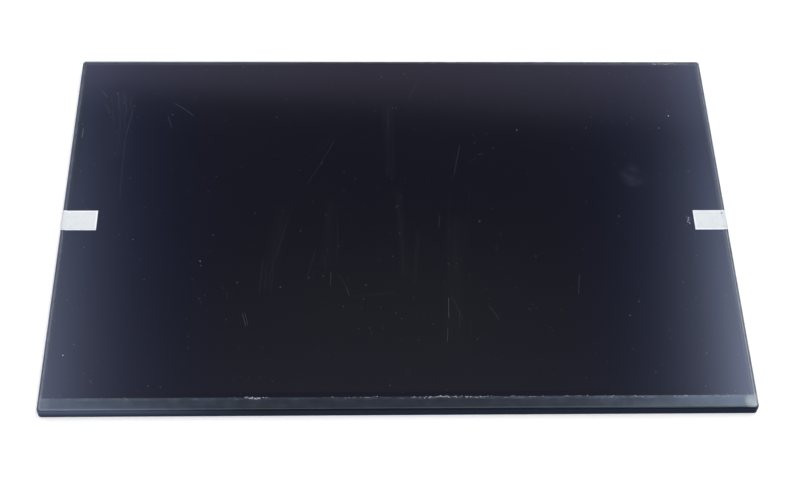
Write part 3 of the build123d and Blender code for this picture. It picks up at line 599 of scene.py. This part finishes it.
# %% White tape
TAPE_WHITE = (0.675, 0.715, 0.69)
TAPE_GREY = (0.55, 0.585, 0.58)
TAPE_EDGE = (0.86, 0.88, 0.91)
SPOT_DARK = (0.22, 0.25, 0.25)
SPOT_PLACE, SPOT_REACH = (169.9, 4.6), 0.75
RIM_START, RIM_RUN = 169.6, 1.6
TAB_MIDDLE, TAB_HALF = 0.65, 6.2
SIDE_BAND, END_BAND = (0.95, 0.55), (0.6, 1.0)
TAB_CREASE, CREASE_REACH = -4.4, 0.3
TAB_ENDS = (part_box("left_tape_tab")[1].x / MM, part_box("right_tape_tab")[0].x / MM)

tape = Finish("white_tape", {"Specular IOR Level": 0.35})
glue = tape.noise(2.6, 3.0)
fibre = tape.noise(0.22, 2.0)
over_rim = abs(tape.x).ease(RIM_START, RIM_START + RIM_RUN)
cut_edge = abs(tape.y - TAB_MIDDLE).ease(TAB_HALF - SIDE_BAND[0], TAB_HALF - SIDE_BAND[1])
for inner_end in TAB_ENDS:
    cut_edge = cut_edge.most(1 - abs(tape.x - inner_end).ease(*END_BAND))
# Painted shade: a grey line along the tape's crease.
crease_shade = tape.near(tape.y, TAB_CREASE, CREASE_REACH) * 0.4
spot = 1 - (tape.square_from(tape.x, tape.y, SPOT_PLACE) / SPOT_REACH ** 2).ease(0.15, 1.0)
white = tape.mix(cut_edge * 0.8, TAPE_WHITE, TAPE_EDGE)
white = tape.mix(glue.ease(0.45, 0.75) * 0.35 + over_rim * glue * 0.6 + crease_shade, white, TAPE_GREY)
white = tape.mix(spot * 0.75, white, SPOT_DARK)
tape.give(
    colour=white,
    roughness=0.42 + fibre * 0.2,
    normal=tape.bump(fibre * 0.4 + glue, 0.02),
)
finishes["tab_white"] = tape.material
print("white tape nodes:", len(tape.tree.nodes))

# %% [markdown]
# ## Plain finishes behind the screen
# Glass, films, plastics and metals inside the panel show at the edges and on the back. Most of them are
# the same recipe with other numbers: two tones mixed by a cloudy pattern, drawn out along one axis where
# the sheet was rolled or brushed, with a matching change of roughness and a fine bump.

# %% Two-tone finishes from one table
PLAIN_FINISHES = {
    # slot: dark tone, light tone, metallic, roughness, its change, lump, stretch, dent
    "polarizer_film": ((0.035, 0.035, 0.040), (0.060, 0.060, 0.066), 0.0, 0.30, 0.10, 3.0, (8, 1, 1), 0.003),
    "black_tape": ((0.010, 0.010, 0.011), (0.026, 0.026, 0.029), 0.0, 0.50, 0.20, 1.2, (4, 1, 1), 0.010),
    "frame_plastic": ((0.016, 0.016, 0.018), (0.034, 0.034, 0.037), 0.0, 0.48, 0.16, 0.5, (1, 1, 1), 0.012),
    "clear_sheet": ((0.66, 0.69, 0.71), (0.82, 0.84, 0.86), 0.0, 0.22, 0.15, 2.0, (30, 1, 1), 0.004),
    "white_sheet": ((0.80, 0.80, 0.79), (0.88, 0.88, 0.88), 0.0, 0.45, 0.15, 1.0, (1, 1, 1), 0.006),
    "plate_metal": ((0.52, 0.53, 0.54), (0.70, 0.71, 0.72), 1.0, 0.34, 0.18, 0.6, (60, 1, 1), 0.004),
    "chip_black": ((0.010, 0.010, 0.011), (0.026, 0.026, 0.028), 0.0, 0.50, 0.15, 0.3, (1, 1, 1), 0.008),
    "steel": ((0.50, 0.50, 0.51), (0.66, 0.66, 0.67), 1.0, 0.26, 0.16, 0.4, (12, 1, 1), 0.003),
    "contact_brass": ((0.66, 0.47, 0.18), (0.84, 0.64, 0.30), 1.0, 0.22, 0.14, 0.3, (1, 4, 1), 0.002),
    "part_ceramic": ((0.30, 0.22, 0.15), (0.50, 0.41, 0.32), 0.0, 0.42, 0.16, 1.6, (1, 1, 1), 0.004),
    "connector_plastic": ((0.58, 0.54, 0.44), (0.70, 0.66, 0.56), 0.0, 0.45, 0.14, 0.5, (1, 1, 1), 0.008),
    "lamp_white": ((0.80, 0.74, 0.44), (0.86, 0.85, 0.80), 0.0, 0.30, 0.12, 0.8, (1, 1, 1), 0.003),
}

for slot, recipe in PLAIN_FINISHES.items():
    dark, light, metallic, rough, change, lump, stretch, dent = recipe
    plain = Finish(slot + "_finish", {"Metallic": metallic})
    grain = plain.noise(lump, 3.0, stretch)
    stains = plain.noise(lump * 9.0, 2.0)
    plain.give(
        colour=plain.mix(grain * 0.7 + stains * 0.3, dark, light),
        roughness=rough + (grain * 0.6 + stains * 0.4) * change,
        normal=plain.bump(grain, dent),
    )
    finishes[slot] = plain.material
print("two-tone finishes:", len(PLAIN_FINISHES))

# %% [markdown]
# ## The glass and its pale groove
# Only a thread of the glass shows, at the bottom of the narrow groove between film and bezel. The glass is
# dark green-grey under the film and pale outside it, partly from dust, which ends up in a groove, and
# partly from painted light that lifts the groove's shade.

# %% Glass with a pale edge of dust and painted light
GLASS_DARK = (0.060, 0.075, 0.080)
GLASS_LIGHT = (0.090, 0.110, 0.115)
GROOVE_DUST_AND_LIGHT = (0.46, 0.47, 0.48)
DUST_EDGE = 0.02
FILM_SIDE = film_high.x / MM
FILM_BACK = film_high.y / MM
FILM_FRONT = film_low.y / MM

glass = Finish("cell_glass_finish", {"Specular IOR Level": 0.5})
waves = glass.noise(9.0, 3.0, (3, 1, 1))
outside = abs(glass.x).ease(FILM_SIDE - DUST_EDGE, FILM_SIDE)
outside = outside.most(glass.y.ease(FILM_BACK - DUST_EDGE, FILM_BACK))
outside = outside.most(1 - glass.y.ease(FILM_FRONT, FILM_FRONT + DUST_EDGE))
# Outside the film the glass is painted pale: dust, and painted light that lifts the groove's shade.
glass.give(
    colour=glass.mix(outside * 0.8, glass.mix(waves, GLASS_DARK, GLASS_LIGHT), GROOVE_DUST_AND_LIGHT),
    roughness=0.08 + waves * 0.05 + outside * 0.6,
)
finishes["cell_glass"] = glass.material
print("glass nodes:", len(glass.tree.nodes))

# %% [markdown]
# ## The driver board and its films
# A circuit board is green because clear green resin covers its copper. Where copper runs below, the
# resin looks lighter, so thin stripes stand for the tracks and small dots for the holes that join its
# layers. The amber films carry fine copper lines from the board to the glass, all side by side.

# %% Green board and amber film
BOARD_GREEN = (0.006, 0.060, 0.030)
TRACK_GREEN = (0.020, 0.130, 0.062)
HOLE_TIN = (0.42, 0.42, 0.40)
FILM_AMBER = (0.36, 0.16, 0.025)
FILM_COPPER = (0.62, 0.30, 0.08)

board = Finish("board_resin", {"Specular IOR Level": 0.5})
zones = board.noise(9.0, 1.0).ease(0.48, 0.52)
tracks = board.stripes(board.x, 0.9, 0.4) * zones + board.stripes(board.y, 0.8, 0.4) * (1 - zones)
holes = board.dots(3.4, 0.28)
resin = board.mix(tracks * 0.8, BOARD_GREEN, TRACK_GREEN)
board.give(
    colour=board.mix(holes, resin, HOLE_TIN),
    roughness=0.30 + board.noise(4.0) * 0.12,
    normal=board.bump(tracks - holes, 0.02),
)
finishes["board_green"] = board.material

amber = Finish("amber_driver_film", {"Specular IOR Level": 0.5})
lines = amber.stripes(amber.x, 0.32, 0.5)
amber.give(
    colour=amber.mix(lines * 0.8 + amber.noise(3.0) * 0.2, FILM_AMBER, FILM_COPPER),
    roughness=0.26 + amber.noise(2.0) * 0.12,
    normal=amber.bump(lines, 0.01),
)
finishes["amber_film"] = amber.material
print("board nodes:", len(board.tree.nodes), "film nodes:", len(amber.tree.nodes))

# %% [markdown]
# ## Putting the finishes on the CAD pieces
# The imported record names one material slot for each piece, so one loop dresses them all. The CAD meshes
# stay as they are: only what is in their material slots changes.

# %% Dress every CAD piece
for part in frame["record"]["subparts"]:
    piece = frame["nodes"][part["node"]]
    if not piece.material_slots:
        piece.data.materials.append(None)
    for place in piece.material_slots:
        place.material = finishes[part["material_slot"]]

# %% [markdown]
# ## Dust and crumbs
# Specks of dust lie on the film, and pale crumbs are packed into the narrow groove between the film and
# the lower lip. They stand up from the surface and catch light, so they are small solids. Hundreds of
# them repeat one shape, which is work for Geometry Nodes: a tree puts a rough twenty-sided crumb on each
# point of a mesh, scaled by the point's own size, turned at random and pressed flat.

# %% The crumb tree
CRUMB_FLATNESS = 0.55
CRUMB_ROUGHNESS = 0.35
CRUMB_LUMP = 0.25 * MM


def new_tree(name, inputs):
    """A geometry tree with a geometry input and output and named number inputs."""
    tree = bpy.data.node_groups.new(name, "GeometryNodeTree")
    for way in ("INPUT", "OUTPUT"):
        tree.interface.new_socket("Geometry", in_out=way, socket_type="NodeSocketGeometry")
    for label, kind in inputs:
        tree.interface.new_socket(label, in_out="INPUT", socket_type=kind)
    return tree, Board(tree)


def grow(name, mesh, tree, values):
    """Runs a tree on a mesh and keeps the result as a plain mesh at the origin."""
    piece = bpy.data.objects.new(name, mesh)
    bpy.context.scene.collection.objects.link(piece)
    modifier = piece.modifiers.new(name, "NODES")
    modifier.node_group = tree
    for item in tree.interface.items_tree:
        if item.item_type == "SOCKET" and item.name in values:
            modifier[item.identifier] = values[item.name]
    evaluated = piece.evaluated_get(bpy.context.evaluated_depsgraph_get())
    plain = bpy.data.meshes.new_from_object(evaluated)
    piece.modifiers.clear()
    piece.data = plain
    plain.name = name
    return piece


crumb_tree, crumbs = new_tree("crumbs_on_points", (
    ("Longest", "NodeSocketFloat"), ("Seed", "NodeSocketInt"), ("Dust", "NodeSocketMaterial"),
))
given = crumbs.node("NodeGroupInput").socket.node
points, longest, seed, dust_paint = (Wire(crumbs, given.outputs[i]) for i in range(4))
radius = crumbs.node("GeometryNodeInputNamedAttribute", {"data_type": "FLOAT"}, {"Name": "radius"})
number = {"data_type": "FLOAT"}
turn = crumbs.node("FunctionNodeRandomValue", number, {2: 0.0, 3: math.tau, "Seed": seed}, out=1)
draw = crumbs.node("FunctionNodeRandomValue", number, {2: 1.0, 3: longest, "Seed": seed}, out=1)
rotation = crumbs.node("ShaderNodeCombineXYZ", None, {"Z": turn})
sides = {"X": radius * draw, "Y": radius, "Z": radius * CRUMB_FLATNESS}
size = crumbs.node("ShaderNodeCombineXYZ", None, sides)
shape = crumbs.node("GeometryNodeMeshIcoSphere", None, {"Radius": 1.0, "Subdivisions": 1})
placed = crumbs.node("GeometryNodeInstanceOnPoints", None, {
    "Points": points, "Instance": shape, "Rotation": rotation, "Scale": size,
})
solid = crumbs.node("GeometryNodeRealizeInstances", None, {"Geometry": placed})
where = crumbs.node("GeometryNodeInputPosition")
wobble = crumbs.node("ShaderNodeTexNoise", None, {"Vector": where, "Scale": 1 / CRUMB_LUMP}, out="Color")
centred = crumbs.node("ShaderNodeVectorMath", {"operation": "SUBTRACT"}, {0: wobble, 1: (0.5, 0.5, 0.5)})
far = {0: centred, "Scale": radius * CRUMB_ROUGHNESS}
push = crumbs.node("ShaderNodeVectorMath", {"operation": "SCALE"}, far)
rough = crumbs.node("GeometryNodeSetPosition", None, {"Geometry": solid, "Offset": push})
painted = crumbs.node("GeometryNodeSetMaterial", None, {"Geometry": rough, "Material": dust_paint})
crumbs.node("NodeGroupOutput", None, {0: painted})
print("crumb tree nodes:", len(crumb_tree.nodes))

# %% Dust's own finish
DUST_DARK = (0.42, 0.43, 0.44)
DUST_PALE = (0.78, 0.79, 0.80)
DIRT_DARK = (0.26, 0.27, 0.28)
DIRT_PALE = (0.72, 0.74, 0.75)

dust = Finish("pale_dust", {"Specular IOR Level": 0.2})
lint = dust.noise(0.12, 2.0)
dust.give(
    colour=dust.mix(lint.ease(0.3, 0.7), DUST_DARK, DUST_PALE),
    roughness=0.8 + lint * 0.2,
)

dirt_paint = Finish("grey_dirt", {"Specular IOR Level": 0.2})
clods = dirt_paint.noise(0.5, 2.0)
dirt_paint.give(
    colour=dirt_paint.mix(clods.ease(0.35, 0.7), DIRT_DARK, DIRT_PALE),
    roughness=0.8 + clods * 0.2,
)
print("dust nodes:", len(dust.tree.nodes), "dirt nodes:", len(dirt_paint.tree.nodes))


# %% Points that carry a crumb each
def crumb_points(name, rows):
    """A mesh of loose points; each row is x, y, z and radius in millimetres."""
    mesh = bpy.data.meshes.new(name)
    mesh.from_pydata([(x * MM, y * MM, z * MM) for x, y, z, _ in rows], [], [])
    sizes = mesh.attributes.new("radius", "FLOAT", "POINT")
    for item, row in zip(sizes.data, rows):
        item.value = row[3] * MM
    return mesh


print("crumb points ready")

# %% [markdown]
# ## Specks on the screen
# The larger specks of the photograph are placed one by one, and finer dust is scattered between them
# from a fixed seed. Each lies on the film, so its middle is a little under its half thickness above
# the face.

# %% Scatter the dust
LARGE_SPECKS = (
    (-108.4, 83.8, 0.10), (-134.4, -11.1, 0.16), (-93.8, -8.7, 0.13), (-72.8, 5.3, 0.12),
    (-94.2, 29.6, 0.12), (-83.1, 106.5, 0.14), (-6.4, 99.1, 0.14), (6.4, 101.4, 0.11),
    (41.2, 81.6, 0.11), (42.3, 57.5, 0.10), (66.3, 61.0, 0.21), (-26.8, 32.2, 0.11),
    (-21.0, 27.5, 0.12), (-2.0, 28.1, 0.11), (29.8, 29.4, 0.09), (1.8, 5.8, 0.06),
    (1.6, -7.7, 0.10), (43.2, -0.2, 0.16), (-0.7, 76.6, 0.10), (149.9, 70.8, 0.31),
    (143.8, 62.3, 0.19), (104.0, 62.4, 0.14), (125.0, 23.9, 0.13), (115.9, 2.9, 0.14),
    (156.4, 32.6, 0.13), (-126.9, -35.8, 0.14), (-138.2, -43.6, 0.07), (-137.6, -56.6, 0.09),
    (-162.5, -80.1, 0.28), (-147.6, -94.7, 0.10), (-102.8, -69.6, 0.11), (-104.4, -59.7, 0.09),
    (-84.8, -59.8, 0.11), (-99.5, -24.9, 0.16), (-58.7, -40.9, 0.13), (-80.3, -37.8, 0.14),
    (-157.9, -73.9, 0.08), (-129.9, -23.6, 0.11), (-27.1, -52.4, 0.13), (51.1, -17.3, 0.10),
    (74.7, -65.3, 0.09), (70.8, -22.4, 0.10), (120.6, -50.1, 0.16), (115.2, -58.4, 0.18),
    (144.2, -38.7, 0.13), (153.5, -22.1, 0.12), (134.0, -72.0, 0.13), (127.8, -86.8, 0.10),
    (124.4, -90.8, 0.13), (-17.1, -48.3, 0.05), (45.4, -48.0, 0.10), (152.2, 1.9, 0.26),
    (151.9, 0.6, 0.30), (151.5, -0.8, 0.24), (152.4, -1.7, 0.20), (151.0, 2.6, 0.10),
)
SPECK_GAIN = 1.05
SPECK_SEAT = 0.4
SPECK_LONGEST = 1.5
CLEAR_BORDER = 1.0
FINE_SPECKS = 420
FINE_RADIUS = (0.05, 0.105)
DUST_SEED = 7

draws = random.Random(DUST_SEED)
face = FACE_LEVEL / MM
specks = [(x, y, face + SPECK_SEAT * SPECK_GAIN * r, SPECK_GAIN * r) for x, y, r in LARGE_SPECKS]
for _ in range(FINE_SPECKS):
    r = draws.uniform(*FINE_RADIUS)
    x = draws.uniform(film_low.x / MM + CLEAR_BORDER, film_high.x / MM - CLEAR_BORDER)
    y = draws.uniform(film_low.y / MM + CLEAR_BORDER, film_high.y / MM - CLEAR_BORDER)
    specks.append((x, y, face + SPECK_SEAT * r, r))
screen_dust = grow("screen_dust", crumb_points("screen_dust", specks), crumb_tree, {
    "Longest": SPECK_LONGEST, "Seed": DUST_SEED, "Dust": dust.material,
})
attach(screen_dust, "root")
print("specks:", len(specks), "faces:", len(screen_dust.data.polygons))

# %% [markdown]
# ## Crumbs in the groove and chips on the rim
# Between the film and the lower lip runs a groove about 0.15 mm wide, and years of dirt and dried glue
# sit along it as a broken white line. A table gives the stretches where it is thick. The same tree also
# makes the crumbs at the right end of the far groove and the small pale chips on the far rim, where the
# paint has gone.

# %% Fill the groove
GROOVE_LINE = -104.35
GROOVE_LEVEL = 6.14
GROOVE_SPREAD = 0.25
GROOVE_STRETCHES = (
    # from, to, largest crumb, share of places filled
    (-165.0, -75.0, 0.13, 0.3), (-73.8, -65.7, 0.36, 0.9), (-65.7, -61.0, 0.25, 0.7),
    (-59.0, -40.0, 0.13, 0.4), (-39.0, -27.0, 0.18, 0.55), (-26.5, -7.1, 0.23, 0.65),
    (-6.0, 4.0, 0.18, 0.55), (4.0, 14.0, 0.28, 0.7), (14.0, 36.0, 0.34, 0.85),
    (36.0, 48.0, 0.28, 0.75), (48.0, 69.5, 0.24, 0.7), (70.0, 76.0, 0.15, 0.5),
    (76.7, 91.0, 0.24, 0.6), (97.3, 104.0, 0.25, 0.6), (112.2, 118.5, 0.25, 0.6),
    (119.0, 131.0, 0.12, 0.35), (131.5, 134.4, 0.29, 0.8), (136.4, 138.8, 0.29, 0.8),
    (151.8, 154.7, 0.27, 0.75), (156.6, 159.1, 0.27, 0.75), (159.5, 168.0, 0.13, 0.35),
)
GROOVE_STEP = 0.6
RIM_CHIPS = (
    (107.0, 108.5, 0.30, 1.0), (30.0, 36.0, 0.20, 0.8),
    (-20.0, 30.0, 0.09, 0.15), (60.0, 139.0, 0.09, 0.2),
)
RIM_LINE = 110.0
RIM_SPREAD = 0.1
FAR_CRUMBS = ((146.0, 158.0, 0.30, 0.8), (158.0, 168.0, 0.20, 0.5))
FAR_LINE = 108.8
FAR_LEVEL = 6.0
FAR_SPREAD = 0.15
CRUMB_SIZES = (0.5, 1.0)
CRUMB_LONGEST = 1.6
CRUMB_SEED = 23

draws = random.Random(CRUMB_SEED)
packed = []


def pack_crumbs(stretches, line, level, spread):
    """Crumbs of random size along a line, thicker in some stretches."""
    for start, end, largest, share in stretches:
        for step in range(int((end - start) / GROOVE_STEP)):
            across, size, chance = draws.gauss(0, spread), draws.uniform(*CRUMB_SIZES), draws.random()
            if chance < share:
                packed.append((start + step * GROOVE_STEP, line + across, level, largest * size))


pack_crumbs(GROOVE_STRETCHES, GROOVE_LINE, GROOVE_LEVEL, GROOVE_SPREAD)
pack_crumbs(RIM_CHIPS, RIM_LINE, LIP_LEVEL / MM, RIM_SPREAD)
pack_crumbs(FAR_CRUMBS, FAR_LINE, FAR_LEVEL, FAR_SPREAD)
edge_crumbs = grow("edge_crumbs", crumb_points("edge_crumbs", packed), crumb_tree, {
    "Longest": CRUMB_LONGEST, "Seed": CRUMB_SEED, "Dust": dirt_paint.material,
})
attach(edge_crumbs, "root")
print("crumbs:", len(packed), "faces:", len(edge_crumbs.data.polygons))
